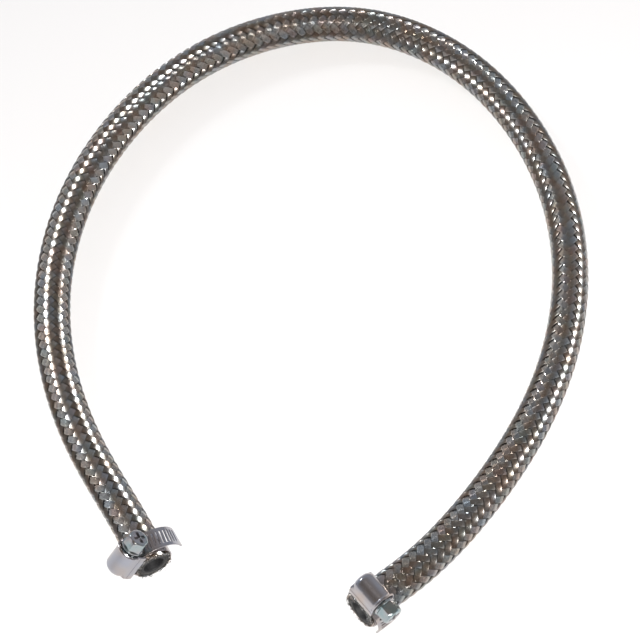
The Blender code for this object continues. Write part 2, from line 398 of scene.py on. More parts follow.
# --------------------------------------------------------------------- hose
class HosePath:
    """The hose's centre line with a level and an upright direction at each point.

    The line is a natural cubic spline through the route. At each point the level
    direction is the tangent crossed with +Z, and the upright one closes the set.
    """

    def __init__(self, route: tuple[tuple[float, float, float], ...], samples: int = 6000) -> None:
        """Fits the spline and tables its points by arc length.

        Args:
            route: the points that the line passes through, in metres.
            samples: how finely the line is tabled.
        """
        self.points = self._spline(np.array(route, float), samples)
        steps = np.linalg.norm(np.diff(self.points, axis=0), axis=1)
        self.run = np.concatenate(([0.0], np.cumsum(steps)))
        self.length = float(self.run[-1])
        tangent = np.gradient(self.points, self.run, axis=0)
        self.tangent = tangent / np.linalg.norm(tangent, axis=1)[:, None]

    @staticmethod
    def _spline(knots: np.ndarray, samples: int) -> np.ndarray:
        """Natural cubic spline: second derivatives solve a tridiagonal system.

        Args:
            knots: points to pass through, shape (n, 3).
            samples: number of points to return.

        Returns:
            Points along the spline, shape (samples, 3).
        """
        spans = np.linalg.norm(np.diff(knots, axis=0), axis=1)
        marks = np.concatenate(([0.0], np.cumsum(spans)))
        size = len(knots)
        matrix = np.eye(size)
        right = np.zeros_like(knots)
        for i in range(1, size - 1):
            matrix[i, i - 1:i + 2] = spans[i - 1], 2.0 * (spans[i - 1] + spans[i]), spans[i]
            slope_ahead = (knots[i + 1] - knots[i]) / spans[i]
            slope_back = (knots[i] - knots[i - 1]) / spans[i - 1]
            right[i] = 6.0 * (slope_ahead - slope_back)
        bend = np.linalg.solve(matrix, right)
        where = np.linspace(0.0, marks[-1], samples)
        k = np.clip(np.searchsorted(marks, where, side="right") - 1, 0, size - 2)
        span = spans[k][:, None]
        back = (marks[k + 1] - where)[:, None] / span
        ahead = 1.0 - back
        curve = (back ** 3 - back) * bend[k] + (ahead ** 3 - ahead) * bend[k + 1]
        return back * knots[k] + ahead * knots[k + 1] + curve * span ** 2 / 6.0

    def frames(self, along: np.ndarray) -> tuple[np.ndarray, np.ndarray, np.ndarray, np.ndarray]:
        """Centre, tangent, level and upright vectors at distances along the hose.

        Past either end the line goes on straight.

        Args:
            along: distances in metres, any shape.

        Returns:
            Four arrays of vectors, each with one more axis than along.
        """
        inside = np.clip(along, 0.0, self.length)
        centre = np.stack([np.interp(inside, self.run, self.points[:, a]) for a in range(3)], axis=-1)
        tangent = np.stack([np.interp(inside, self.run, self.tangent[:, a]) for a in range(3)], axis=-1)
        tangent /= np.linalg.norm(tangent, axis=-1, keepdims=True)
        centre = centre + tangent * (along - inside)[..., None]
        level = np.cross(tangent, np.array([0.0, 0.0, 1.0]))
        level /= np.linalg.norm(level, axis=-1, keepdims=True)
        upright = np.cross(level, tangent)
        return centre, tangent, level, upright

    def surface(self, along: np.ndarray, angle: np.ndarray, radius: np.ndarray) -> np.ndarray:
        """Points at a distance along, an angle round and a radius from the line.

        The angle is measured from the level direction towards the upright one, so
        a point is the centre plus radius times cosine of the level direction plus
        radius times sine of the upright one.

        Args:
            along: distances along the hose in metres.
            angle: angles in radians, same shape.
            radius: distances from the centre line in metres, same shape.

        Returns:
            The points, with one more axis of three.
        """
        centre, _, level, upright = self.frames(along)
        across = (radius * np.cos(angle))[..., None] * level
        return centre + across + (radius * np.sin(angle))[..., None] * upright


@dataclass
class HoseSizes:
    """The hose's sizes in metres, from the bore outwards.

    The tubes' walls stand a little apart. braid_radius is the braid's mean radius.
    At a cut end everything is wider by the share end_flare, which fades to nothing
    over flare_length. A tube's lip is lip_share of its wall, and lip_limit at most.
    """

    bore_radius: float = 3.95 * MM
    tube_radius: float = 5.00 * MM
    yarn_inner: float = 5.15 * MM
    yarn_outer: float = 5.50 * MM
    cover_inner: float = 5.65 * MM
    cover_radius: float = 6.26 * MM
    braid_radius: float = 6.60 * MM
    outer_diameter: float = 14.0 * MM
    end_flare: float = 0.02
    flare_length: float = 1.2 * MM
    lip_share: float = 0.3
    lip_limit: float = 0.25 * MM
    end_margin: float = 0.5 * MM
    tube_sides: int = 32
    tube_stations: int = 150


class RubberHose:
    """The tubes under the braid: an inner tube, a yarn layer and a rubber cover."""

    def __init__(self, path: HosePath, sizes: HoseSizes, finishes: Finishes) -> None:
        """Keeps what the tubes are made with.

        Args:
            path: the hose's centre line.
            sizes: the hose's sizes.
            finishes: the materials.
        """
        self.path = path
        self.sizes = sizes
        self.finishes = finishes

    def flare(self, along: np.ndarray) -> np.ndarray:
        """How much wider the hose is at each distance: it springs open at a cut end.

        Args:
            along: distances along the hose in metres.

        Returns:
            A factor on the radius, 1 away from the ends.
        """
        from_end = np.minimum(along, self.path.length - along)
        return 1.0 + self.sizes.end_flare * (1.0 - smooth_step(from_end / self.sizes.flare_length))

    def tube(self, name: str, inner: float, outer: float) -> bpy.types.Object:
        """A thick tube along the hose with a rounded lip at each cut end.

        The profile goes out along the outer wall and back along the inner one,
        and each station of it is carried round the centre line.

        Args:
            name: the piece's name.
            inner: the inside radius.
            outer: the outside radius.

        Returns:
            The closed tube.
        """
        s = self.sizes
        sides, stations = s.tube_sides, s.tube_stations
        lip = min(s.lip_limit, (outer - inner) * s.lip_share)
        end = self.path.length
        body = np.linspace(s.end_margin, end - s.end_margin, stations)
        along = np.concatenate([
            [0.0, lip], body, [end - lip, end],
            [end, end - lip], body[::-1], [lip, 0.0],
        ])
        radius = np.concatenate([
            [outer - lip, outer], np.full(stations, outer), [outer, outer - lip],
            [inner + lip, inner], np.full(stations, inner), [inner, inner + lip],
        ])
        angle = np.linspace(0.0, TWO_PI, sides, endpoint=False)
        grid_along, grid_angle = np.meshgrid(along, angle, indexing="ij")
        grid_radius = radius[:, None] * self.flare(along)[:, None] * np.ones(sides)
        points = self.path.surface(grid_along, grid_angle, grid_radius)
        index = np.arange(len(along) * sides).reshape(len(along), sides)
        below = np.roll(index, -1, axis=0)
        quads = np.stack(
            [index, below, np.roll(below, -1, axis=1), np.roll(index, -1, axis=1)], axis=-1
        ).reshape(-1, 4)
        return mesh_object(name, points.reshape(-1, 3), quads, sharp_degrees=50.0)

    def build(self) -> dict[str, bpy.types.Object]:
        """Makes the three tubes.

        Returns:
            Each tube, by the CAD node that it stands for.
        """
        s, f = self.sizes, self.finishes
        plan = (
            ("Inner_tube", s.bore_radius, s.tube_radius, f.rubber, Slot.RUBBER),
            ("Textile_reinforcement", s.yarn_inner, s.yarn_outer, f.textile, Slot.TEXTILE),
            ("Rubber_cover", s.cover_inner, s.cover_radius, f.rubber, Slot.RUBBER),
        )
        tubes = {}
        for name, inner, outer, material, slot in plan:
            piece = dress(self.tube(name, inner, outer), material, "hose")
            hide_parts(name.lower())
            log.info("%s: %d faces", piece.name, len(piece.data.polygons))
            tubes[name.lower()] = piece
        return tubes


@dataclass
class WireBraid:
    """The woven steel braid: two sets of twelve strands, two over and two under.

    A strand's wires follow helices round the hose. The weave number of a point is
    its strand's number plus its place, in strands, among those of the other hand.
    With weave numbers 0 and 1 in every 4 the right-hand strand is outside, and with
    2 and 3 the left-hand one is, so the floats stand in columns along the hose.

    A strand's height over the mean radius is weave_height times the cosine of a
    phase that makes one turn in four weave numbers. Each float would also twist
    along its helix: untwist is the share of that twist taken out, as a height
    across the strand that grows with the sine of the same phase.

    column_pitch is the distance between floats along the hose, and each is made
    from stations_per_pitch cross-sections. A strand is a row of wires with a valley
    of wire_depth between them, drops by edge_drop of its half thickness at its
    sides, and is narrower underneath. The small unevenness is a slow random drift
    of place and width, as shares of the width, and of radius.
    """

    path: HosePath
    hose: RubberHose
    finishes: Finishes
    per_hand: int = 12
    wires: int = 6
    points_per_wire: int = 2
    column_pitch: float = 3.78 * MM
    strand_width: float = 2.48 * MM
    wire_depth: float = 0.16 * MM
    thickness: float = 0.24 * MM
    weave_height: float = 0.34 * MM
    untwist: float = 0.8
    edge_drop: float = 0.35
    edge_power: int = 6
    underside_share: float = 0.42
    place_drift: float = 0.05
    width_drift: float = 0.05
    radius_drift: float = 0.015 * MM
    stations_per_pitch: int = 8
    strands_per_piece: int = 4
    sharp_degrees: float = 62.0
    seed: int = 24

    @property
    def turn_rate(self) -> float:
        """Radians that a strand turns round the hose for each metre along it."""
        return TWO_PI / (self.per_hand * self.column_pitch)

    def strand_points(
        self, hand: Hand, number: int, rng: np.random.Generator
    ) -> tuple[np.ndarray, np.ndarray]:
        """The surface of one strand as a grid of cross-sections.

        A point's angle is the strand's helix plus the place across the strand,
        divided by the radius and by the cosine of the braid angle.

        Args:
            hand: which way the strand winds.
            number: the strand's number in its set.
            rng: source of the small unevenness.

        Returns:
            Points of shape (stations, section, 3) and a colour for each.
        """
        radius = self.hose.sizes.braid_radius
        slope = self.turn_rate * radius
        widen = math.sqrt(1.0 + slope * slope) / radius
        along = np.arange(0.0, self.path.length, self.column_pitch / self.stations_per_pitch)
        along = np.append(along, self.path.length)
        count = len(along)
        across, lift = self._section()
        grid_along, grid_across = np.meshgrid(along, across, indexing="ij")
        sway = self._wander(count, rng, 56) * self.place_drift
        width = self.strand_width * (1.0 + self._wander(count, rng, 80) * self.width_drift)
        place = (grid_across * width[:, None] + sway[:, None] * self.strand_width) * widen
        start = TWO_PI * number / self.per_hand
        angle = start + hand.value * self.turn_rate * grid_along + place
        other = (angle + hand.value * self.turn_rate * grid_along) * self.per_hand / TWO_PI
        weave = number + other
        phase = (weave - 0.5) * math.pi / 2.0
        cosine = 1.0 / math.sqrt(1.0 + slope * slope)
        tilt = self.untwist * slope * cosine ** 2 / radius * self.column_pitch / (math.pi * cosine)
        twist = np.sin(phase) * tilt * grid_across * width[:, None]
        height = hand.value * (np.cos(phase) * self.weave_height + twist)
        height = height + self._wander(count, rng, 120)[:, None] * self.radius_drift
        distance = (radius + height + lift[None, :]) * self.hose.flare(grid_along)
        points = self.path.surface(grid_along, angle, distance)
        float_number = np.floor((weave + 0.5) / 2.0).astype(int)
        return points, self._float_colours(float_number, hand, number)

    def _section(self) -> tuple[np.ndarray, np.ndarray]:
        """One cross-section: over the tops of the wires and back underneath.

        Returns:
            Each point's place across, in widths, and its height in metres.
        """
        top = np.linspace(-0.5, 0.5, self.wires * self.points_per_wire + 1)
        ridge = 1.0 - np.abs(((top + 0.5) * self.wires + 1e-9) % 1.0 * 2.0 - 1.0)
        edge = 1.0 - self.edge_drop * np.abs(2.0 * top) ** self.edge_power
        over = self.thickness / 2 * edge - self.wire_depth * (1.0 - ridge)
        across = np.concatenate([top, [self.underside_share, -self.underside_share]])
        return across, np.concatenate([over, [-self.thickness / 2] * 2])

    @staticmethod
    def _wander(count: int, rng: np.random.Generator, knots: int) -> np.ndarray:
        """A slow random drift along a strand: random values joined by straight lines.

        Args:
            count: number of stations.
            rng: source of the values.
            knots: number of random values.

        Returns:
            The drift at each station, from -1 to 1.
        """
        values = rng.uniform(-1.0, 1.0, knots)
        return np.interp(np.linspace(0.0, knots - 1.0, count), np.arange(knots), values)

    def _float_colours(self, float_number: np.ndarray, hand: Hand, number: int) -> np.ndarray:
        """A slightly different tint for each float, from a small table of tints.

        Args:
            float_number: which float each point lies on.
            hand: the strand's winding.
            number: the strand's number.

        Returns:
            Colours, shape (stations, section, 3).
        """
        tints = np.array([
            (1.04, 1.02, 1.00), (0.96, 0.92, 0.89), (0.98, 1.00, 0.96), (0.97, 0.94, 0.97),
            (1.06, 1.06, 1.06), (0.92, 0.88, 0.85), (0.98, 1.00, 1.03), (0.95, 0.94, 0.90),
        ])
        strand_step = number * 13 + (3 if hand is Hand.LEFT else 0)
        mixed = float_number * 7 + float_number // 5 * 3 + strand_step
        return tints[mixed % len(tints)]

    def build(self) -> list[bpy.types.Object]:
        """Weaves all the strands, in pieces of a few strands each.

        Returns:
            The pieces of braid.
        """
        rng = np.random.default_rng(self.seed)
        pieces = []
        for hand in Hand:
            for first in range(0, self.per_hand, self.strands_per_piece):
                numbers = range(first, first + self.strands_per_piece)
                strands = [self.strand_points(hand, number, rng) for number in numbers]
                pieces.append(self._piece(hand, first, strands))
        return pieces

    def _piece(
        self, hand: Hand, first: int, strands: list[tuple[np.ndarray, np.ndarray]]
    ) -> bpy.types.Object:
        """One object from several strands of one hand, each closed at both ends.

        Args:
            hand: which way the strands wind.
            first: the first strand's number.
            strands: points and colours of each strand.

        Returns:
            The dressed piece.
        """
        rows, columns = strands[0][0].shape[:2]
        quads = grid_faces(rows, columns, closed=True)
        ring = np.arange(columns)
        size = rows * columns
        faces = np.concatenate([quads + size * n for n in range(len(strands))])
        caps = []
        for n in range(len(strands)):
            caps += [ring + size * n, ring[::-1] + size * n + (rows - 1) * columns]
        points = np.concatenate([grid.reshape(-1, 3) for grid, _ in strands])
        name = f"Braid_{hand.name.lower()}_{first // self.strands_per_piece + 1}"
        obj = mesh_object(name, points, faces, caps, sharp_degrees=self.sharp_degrees)
        add_tint(obj, np.concatenate([colours.reshape(-1, 3) for _, colours in strands]))
        dress(obj, self.finishes.braid, "hose")
        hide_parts("steel_braid")
        log.info("%s: %d faces", obj.name, len(obj.data.polygons))
        return obj


@dataclass
class CutWires:
    """The frayed ends of the braid's wires at the two cut ends of the hose.

    The lengths past the cut and the leans away from the braid are drawn from ranges
    in millimetres, and the turns round the hose from a range in radians. skew is a
    direction that no wire follows, from which each wire's sides are found.
    """

    path: HosePath
    hose: RubberHose
    finishes: Finishes
    wire_radius: float = 0.11 * MM
    per_end: int = 72
    rings: int = 6
    sides: int = 6
    start_inside: float = 0.8 * MM
    base_radius: float = 6.85 * MM
    radius_growth: float = 0.15 * MM
    reach_range: tuple[float, float] = (0.2, 0.9)
    turn_range: tuple[float, float] = (-0.35, 0.35)
    lean_range: tuple[float, float] = (-1.4, 0.1)
    skew: tuple[float, float, float] = (0.31, 0.22, 0.92)
    seed: int = 7

    def build(self) -> list[bpy.types.Object]:
        """Makes the wires of both ends.

        Returns:
            One piece for each end.
        """
        rng = np.random.default_rng(self.seed)
        return [self._end(name, start, rng) for name, start in (("left", True), ("right", False))]

    def _end(self, name: str, start: bool, rng: np.random.Generator) -> bpy.types.Object:
        """The wires of one end: each leaves the braid and bends over the cut edge.

        A wire's centre line starts on the braid just inside the cut, runs out
        past it by its own random length, and bends in or out by its own amount
        times the cube of the share of its length.

        Args:
            name: "left" or "right".
            start: whether this is the end where the centre line starts.
            rng: source of the random values.

        Returns:
            The dressed piece.
        """
        count = self.per_end
        share = np.linspace(0.0, 1.0, self.rings)[None, :]
        base = rng.uniform(0.0, TWO_PI, count)[:, None]
        reach = rng.uniform(*self.reach_range, count)[:, None] * MM
        turn = rng.uniform(*self.turn_range, count)[:, None]
        lean = rng.uniform(*self.lean_range, count)[:, None] * MM
        out = -self.start_inside + share * (reach + self.start_inside)
        along = -out if start else self.path.length + out
        angle = base + turn * share
        radius = self.base_radius + self.radius_growth * share + lean * share ** 3
        centre = self.path.surface(along, angle, radius)
        ahead = np.gradient(centre, axis=1)
        ahead /= np.linalg.norm(ahead, axis=-1, keepdims=True)
        side = np.cross(ahead, np.array(self.skew))
        side /= np.linalg.norm(side, axis=-1, keepdims=True)
        other = np.cross(ahead, side)
        turned = np.linspace(0.0, TWO_PI, self.sides, endpoint=False)[None, None, :, None]
        points = (
            centre[:, :, None, :]
            + self.wire_radius * np.cos(turned) * side[:, :, None, :]
            + self.wire_radius * np.sin(turned) * other[:, :, None, :]
        )
        quads = grid_faces(self.rings, self.sides, closed=True)
        size = self.rings * self.sides
        faces = (quads[None] + (np.arange(count) * size)[:, None, None]).reshape(-1, 4)
        ring = np.arange(self.sides)
        caps = []
        for n in range(count):
            caps += [ring + size * n, ring[::-1] + size * n + (self.rings - 1) * self.sides]
        obj = mesh_object(f"Cut_wires_{name}", points.reshape(-1, 3), faces, caps)
        add_tint(obj, np.ones((len(obj.data.vertices), 3)))
        log.info("%s: %d wires", obj.name, count)
        return dress(obj, self.finishes.braid, "hose")


# -------------------------------------------------------------------- clips
@dataclass
class ClipSizes:
    """A clip's sizes in metres and radians, in its own frame.

    X runs along the screw towards its head, Y along the hose away from its end,
    and Z from the hose's centre line to the housing. Angles go from Z towards X.
    A slot reaches slot_half pitches to each side of its middle.
    """

    band_width: float = 8.0 * MM
    band_thickness: float = 0.5 * MM
    band_radius: float = 7.5 * MM
    strip_height: float = 8.2 * MM
    band_start: float = math.radians(-30.0)
    plain_end: float = math.radians(236.0)
    rise_start: float = math.radians(296.0)
    rise_end: float = math.radians(330.0)
    band_end: float = math.radians(352.0)
    slot_pitch: float = 1.6 * MM
    slot_length: float = 5.2 * MM
    slot_slant: float = math.radians(8.0)
    slot_half: float = 0.22
    first_slot: float = 0.6
    edge_strip: float = 0.25 * MM
    strip_bevel: float = 0.07 * MM
    tail_start: float = math.radians(-5.0)
    tail_end_width: float = 0.86
    screw_height: float = 11.2 * MM
    worm_crest: float = 2.6 * MM
    worm_root: float = 1.9 * MM
    worm_start: float = -4.6 * MM
    worm_end: float = 4.2 * MM
    worm_run_out: float = 0.8 * MM
    worm_step: float = 0.1 * MM
    worm_squareness: float = 1.6
    pin_radius: float = 1.2 * MM
    pin_end: float = -5.9 * MM
    collar_radius: float = 4.2 * MM
    collar_start: float = 6.4 * MM
    collar_end: float = 7.4 * MM
    across_flats: float = 7.0 * MM
    head_end: float = 12.2 * MM
    driver_depth: float = 1.3 * MM
    housing_start: float = -6.2 * MM
    housing_end: float = 6.0 * MM
    housing_wall: float = 0.6 * MM
    housing_bevel: float = 0.10 * MM
    dome_length: float = 2.2 * MM
    dome_start: float = 0.42
    rim_length: float = 1.3 * MM
    rim_flare: float = 0.19
    barrel_radius: float = 4.6 * MM
    foot_half_width: float = 5.0 * MM
    foot_bottom: float = 7.3 * MM
    shoulder: float = 9.4 * MM


class Clip:
    """One worm-drive clip: a band, its slotted tail, a housing and a screw."""

    screw_sharp_degrees = 32.0

    def __init__(
        self, side: str, sizes: ClipSizes, finishes: Finishes, tail_radius: float, tail_end: float
    ) -> None:
        """Reads the clip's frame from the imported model's joints.

        Args:
            side: "left" or "right".
            sizes: the clip's sizes.
            finishes: the materials.
            tail_radius: radius that the tail is sprung to, in metres.
            tail_end: where the tail stops, in radians about its own centre.
        """
        self.side = side
        self.sizes = sizes
        self.finishes = finishes
        self.tail_radius = tail_radius
        self.tail_end = tail_end
        joints = {joint["name"]: joint for joint in frame["joints"]}
        turn, slide = joints[side + "_screw_turn"], joints[side + "_clip_slide"]
        screw = -np.array(turn["axis"], float)
        self.x_axis = screw / np.linalg.norm(screw)
        inward = np.array(slide["axis"], float)
        self.y_axis = inward / np.linalg.norm(inward)
        self.z_axis = np.cross(self.x_axis, self.y_axis)
        self.origin = np.array(turn["pos_m"], float) - sizes.screw_height * self.z_axis

    def to_world(self, local: np.ndarray) -> np.ndarray:
        """Points of the clip's own frame, given in the model's frame."""
        return self.origin + local @ np.stack([self.x_axis, self.y_axis, self.z_axis])

    # -- band and tail
    def strip_grid(
        self, length_place: np.ndarray, slots: np.ndarray, radius: np.ndarray,
        centre_height: float, pitch: float,
    ) -> tuple[np.ndarray, np.ndarray]:
        """A strip bent round an axis along Y, with slanted slots left out.

        Args:
            length_place: angles of the strip's stations, from Z towards X.
            slots: for each cell along the strip, whether it is a slot.
            radius: distance of each station from the bend's centre.
            centre_height: height of the bend's centre above the clip's origin.
            pitch: angle for one slot pitch, which scales the slant.

        Returns:
            Points of shape (stations, across, 3), and the cells to keep.
        """
        s = self.sizes
        half, slot_half = s.band_width / 2.0, s.slot_length / 2.0
        side = np.array([slot_half * 0.5, slot_half, half - s.edge_strip, half])
        across = np.concatenate([-side[::-1], [0.0], side])
        slant = math.tan(s.slot_slant) * across / s.slot_pitch * pitch
        slant = slant * (np.abs(across) < half * 0.9)
        ends = np.minimum(np.arange(len(length_place)), np.arange(len(length_place))[::-1])
        angle = length_place[:, None] + slant[None, :] * np.clip(ends / 2.0, 0.0, 1.0)[:, None]
        reach = radius[:, None] * np.ones_like(angle)
        points = np.stack([
            reach * np.sin(angle), np.broadcast_to(across, angle.shape), centre_height + reach * np.cos(angle)
        ], axis=-1)
        inside = (across[:-1] >= -slot_half - 1e-9) & (across[1:] <= slot_half + 1e-9)
        keep = ~(slots[:, None] & inside[None, :])
        return points, keep

    def make_band(self) -> bpy.types.Object:
        """The loop of the band: a circle that rises at its end to pass under the worm.

        Returns:
            The band, plain for most of its way round and slotted near the worm.
        """
        s = self.sizes
        plain = np.linspace(s.band_start, s.plain_end, 84)
        pitch = s.slot_pitch / s.band_radius
        slots = np.arange(plain[-1] + pitch * s.first_slot, s.band_end - pitch * 0.4, pitch)
        angles, is_slot = [plain], [np.zeros(len(plain), bool)]
        for slot in slots:
            angles.append([slot - pitch * s.slot_half, slot + pitch * s.slot_half])
            is_slot.append([True, False])
        angle = np.concatenate([*angles, [s.band_end]])
        cells = np.concatenate(is_slot)
        share = smooth_step((angle - s.rise_start) / (s.rise_end - s.rise_start))
        radius = s.band_radius + (s.strip_height - s.band_radius) * share
        points, keep = self.strip_grid(angle, cells, radius, 0.0, pitch)
        return self._strip("Band_" + self.side, points, keep, self.side + "_band", self.side + "_clip")

    def make_tail(self) -> bpy.types.Object:
        """The band's slotted tail: an arc about its own centre, with a clipped end.

        Returns:
            The tail, slotted along its whole length but its tip.
        """
        s = self.sizes
        pitch = s.slot_pitch / self.tail_radius
        slots = np.arange(s.tail_start + pitch * s.first_slot, self.tail_end - pitch * 1.1, pitch)
        half = pitch * s.slot_half
        angles = np.concatenate([
            [s.tail_start],
            *[[slot - half, slot + half] for slot in slots],
            [self.tail_end - pitch * 0.3, self.tail_end],
        ])
        cells = np.zeros(len(angles) - 1, bool)
        cells[1:2 * len(slots):2] = True
        radius = np.full(len(angles), self.tail_radius)
        points, keep = self.strip_grid(angles, cells, radius, s.strip_height - self.tail_radius, pitch)
        points[-1, :, 1] *= s.tail_end_width
        return self._strip(
            "Band_tail_" + self.side, points, keep, self.side + "_band_tail", self.side + "_tail"
        )

    def _strip(
        self, name: str, points: np.ndarray, keep: np.ndarray, node: str, body: str
    ) -> bpy.types.Object:
        """A finished strip from its grid: meshed, thickened and dressed.

        Args:
            name: the piece's name.
            points: the strip's grid in the clip's own frame.
            keep: the cells that aren't slots.
            node: the CAD node that it stands for.
            body: the body that carries it.

        Returns:
            The finished strip.
        """
        rows, columns = points.shape[:2]
        quads = grid_faces(rows, columns, closed=False, keep=keep)
        obj = mesh_object(name, self.to_world(points.reshape(-1, 3)), quads)
        solid_modifiers(obj, self.sizes.band_thickness, self.sizes.strip_bevel)
        dress(obj, self.finishes.strip, body)
        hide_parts(node)
        log.info("%s: %d faces", name, len(obj.data.polygons))
        return obj

    # -- housing
    def make_housing(self) -> bpy.types.Object:
        """The pressed housing: a tunnel over the worm with a foot on each side.

        Its outline across the screw is foot, shoulder and arch. Along the screw
        the arch closes to a rounded end behind the worm, as a quarter ellipse,
        and flares to a rim in front.

        Returns:
            The housing, open below.
        """
        s = self.sizes
        mid = s.barrel_radius - s.housing_wall / 2.0
        corners = [
            (s.foot_half_width, s.foot_bottom), (s.foot_half_width, s.shoulder - 0.3 * MM),
            (mid + 0.3 * MM, s.shoulder + 0.5 * MM), (mid, s.screw_height),
        ]
        foot = rounded_outline(corners, [0.7 * MM, 0.5 * MM], 6)
        arc = np.linspace(0.0, math.pi, 33)
        arch = np.stack([mid * np.cos(arc), s.screw_height + mid * np.sin(arc)], axis=1)
        outline = np.concatenate([foot[:-1], arch, foot[-2::-1] * (-1.0, 1.0)])
        is_arch = np.pad(np.ones(len(arch)), len(foot) - 1)
        dome = np.linspace(0.0, 1.0, 12)
        front = np.linspace(0.0, 1.0, 7)
        gap = 0.2 * MM
        straight = np.linspace(
            s.housing_start + s.dome_length + gap, s.housing_end - s.rim_length - gap, 10
        )
        x = np.concatenate([
            s.housing_start + s.dome_length * (1.0 - np.cos(dome * math.pi / 2.0)),
            straight,
            s.housing_end - s.rim_length * (1.0 - front),
        ])
        share = np.concatenate([
            s.dome_start + (1.0 - s.dome_start) * np.sin(dome * math.pi / 2.0),
            np.ones(len(straight)),
            1.0 + s.rim_flare * front ** 2,
        ])
        rise = (outline[:, 1] - s.screw_height) * is_arch
        scale = 1.0 + (share[:, None] - 1.0) * is_arch[None, :]
        y = outline[None, :, 0] * scale
        z = outline[None, :, 1] + rise[None, :] * (share[:, None] - 1.0)
        points = np.stack([np.broadcast_to(x[:, None], y.shape), y, z], axis=-1)
        quads = grid_faces(len(x), len(outline), closed=False)
        obj = mesh_object("Housing_" + self.side, self.to_world(points.reshape(-1, 3)), quads)
        solid_modifiers(obj, s.housing_wall, s.housing_bevel)
        dress(obj, self.finishes.strip, self.side + "_clip")
        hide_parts(self.side + "_housing")
        log.info("%s: %d faces", obj.name, len(obj.data.polygons))
        return obj

    # -- screw
    @staticmethod
    def face_lines() -> np.ndarray:
        """Grid lines over the head's end face: slot walls, and the hexagon's corners.

        Returns:
            The lines' places from -1 to 1. The driver slot's walls lie between
            the pairs 0.15 and 0.20, and 0.70 and 0.76.
        """
        half = np.array([0.15, 0.20, math.tan(math.pi / 6.0), 0.70, 0.76, 1.0])
        return np.concatenate([-half[::-1], [0.0], half])

    def ring_angles(self) -> np.ndarray:
        """Angles of the points round the screw, one for each edge point of the face.

        Returns:
            The angles in radians, starting from the grid's lower right corner.
        """
        lines = self.face_lines()
        edge = [(1.0, v) for v in lines[:-1]] + [(-v, 1.0) for v in lines[:-1]]
        edge += [(-1.0, -v) for v in lines[:-1]] + [(v, -1.0) for v in lines[:-1]]
        return np.array([math.atan2(b, a) for a, b in edge])

    def make_screw(self) -> bpy.types.Object:
        """The worm screw: pin, helical worm, neck, collar and hexagon head.

        The worm's radius is a rounded wave of the place along the axis, in
        pitches, less the place round it, in turns. A hexagon's radius is its flat
        distance over the cosine of the angle from the nearest flat's middle. The
        head's end face is a square grid drawn out to a circle at its edge, and
        pushed in where it lies in the cross-shaped driver slot.

        Returns:
            The screw as one closed mesh.
        """
        s = self.sizes
        angle = self.ring_angles()
        flat = s.across_flats / 2.0
        corner = flat / math.cos(math.pi / 6.0)
        hexagon = flat / np.cos((angle + TWO_PI) % (math.pi / 3.0) - math.pi / 6.0)
        places, radii = [], []

        def ring(x: float, radius: float | np.ndarray) -> None:
            """Adds one ring of the screw at x, of one radius or a radius for each angle."""
            places.append(x)
            radii.append(np.broadcast_to(radius, angle.shape))

        ring(s.pin_end, s.pin_radius - 0.3 * MM)
        ring(s.pin_end + 0.3 * MM, s.pin_radius)
        ring(s.worm_start - 0.2 * MM, s.pin_radius)
        thread = (s.worm_crest - s.worm_root) / 2.0
        for x in np.arange(s.worm_start, s.worm_end, s.worm_step):
            wave = np.tanh(s.worm_squareness * np.cos(x / s.slot_pitch * TWO_PI - angle))
            wave /= math.tanh(s.worm_squareness)
            fade = min(1.0, (x - s.worm_start) / s.worm_run_out, (s.worm_end - x) / s.worm_run_out)
            ring(x, s.worm_root + thread * (1.0 + wave) * max(fade, 0.0))
        ring(s.worm_end + 0.2 * MM, s.worm_root)
        ring(s.collar_start, s.worm_root)
        for after, inset in ((0.02, 0.25), (0.2, 0.03)):
            ring(s.collar_start + after * MM, s.collar_radius - inset * MM)
        for before, inset in ((0.5, 0.0), (0.2, 0.05), (0.0, 0.3)):
            ring(s.collar_end - before * MM, s.collar_radius - inset * MM)
        ring(s.collar_end + 0.05 * MM, np.minimum(hexagon, corner - 0.02 * MM) - 0.12 * MM)
        ring(s.collar_end + 0.15 * MM, hexagon)
        ring(s.head_end - 0.9 * MM, hexagon)
        for before, inset in ((0.55, 0.18), (0.3, 0.40), (0.12, 0.62), (0.0, 0.95)):
            ring(s.head_end - before * MM, np.minimum(hexagon, corner - inset * MM))
        points = np.stack([
            np.broadcast_to(np.array(places)[:, None], (len(places), len(angle))),
            np.array(radii) * np.cos(angle), np.array(radii) * np.sin(angle),
        ], axis=-1)
        rows, columns = points.shape[:2]
        quads = grid_faces(rows, columns, closed=True)[:, ::-1]
        cap = np.arange(columns)[::-1]
        face_points, face_quads = self._head_face(corner - 0.95 * MM)
        start = rows * columns
        everything = np.concatenate([points.reshape(-1, 3), face_points])
        everything[:, 2] += s.screw_height
        faces = np.concatenate([quads, face_quads + start])
        obj = mesh_object(
            "Worm_screw_" + self.side, self.to_world(everything), faces, [cap], self.screw_sharp_degrees
        )
        self._weld(obj)
        dress(obj, self.finishes.screw, self.side + "_screw")
        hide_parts(self.side + "_worm_screw")
        log.info("%s: %d faces", obj.name, len(obj.data.polygons))
        return obj

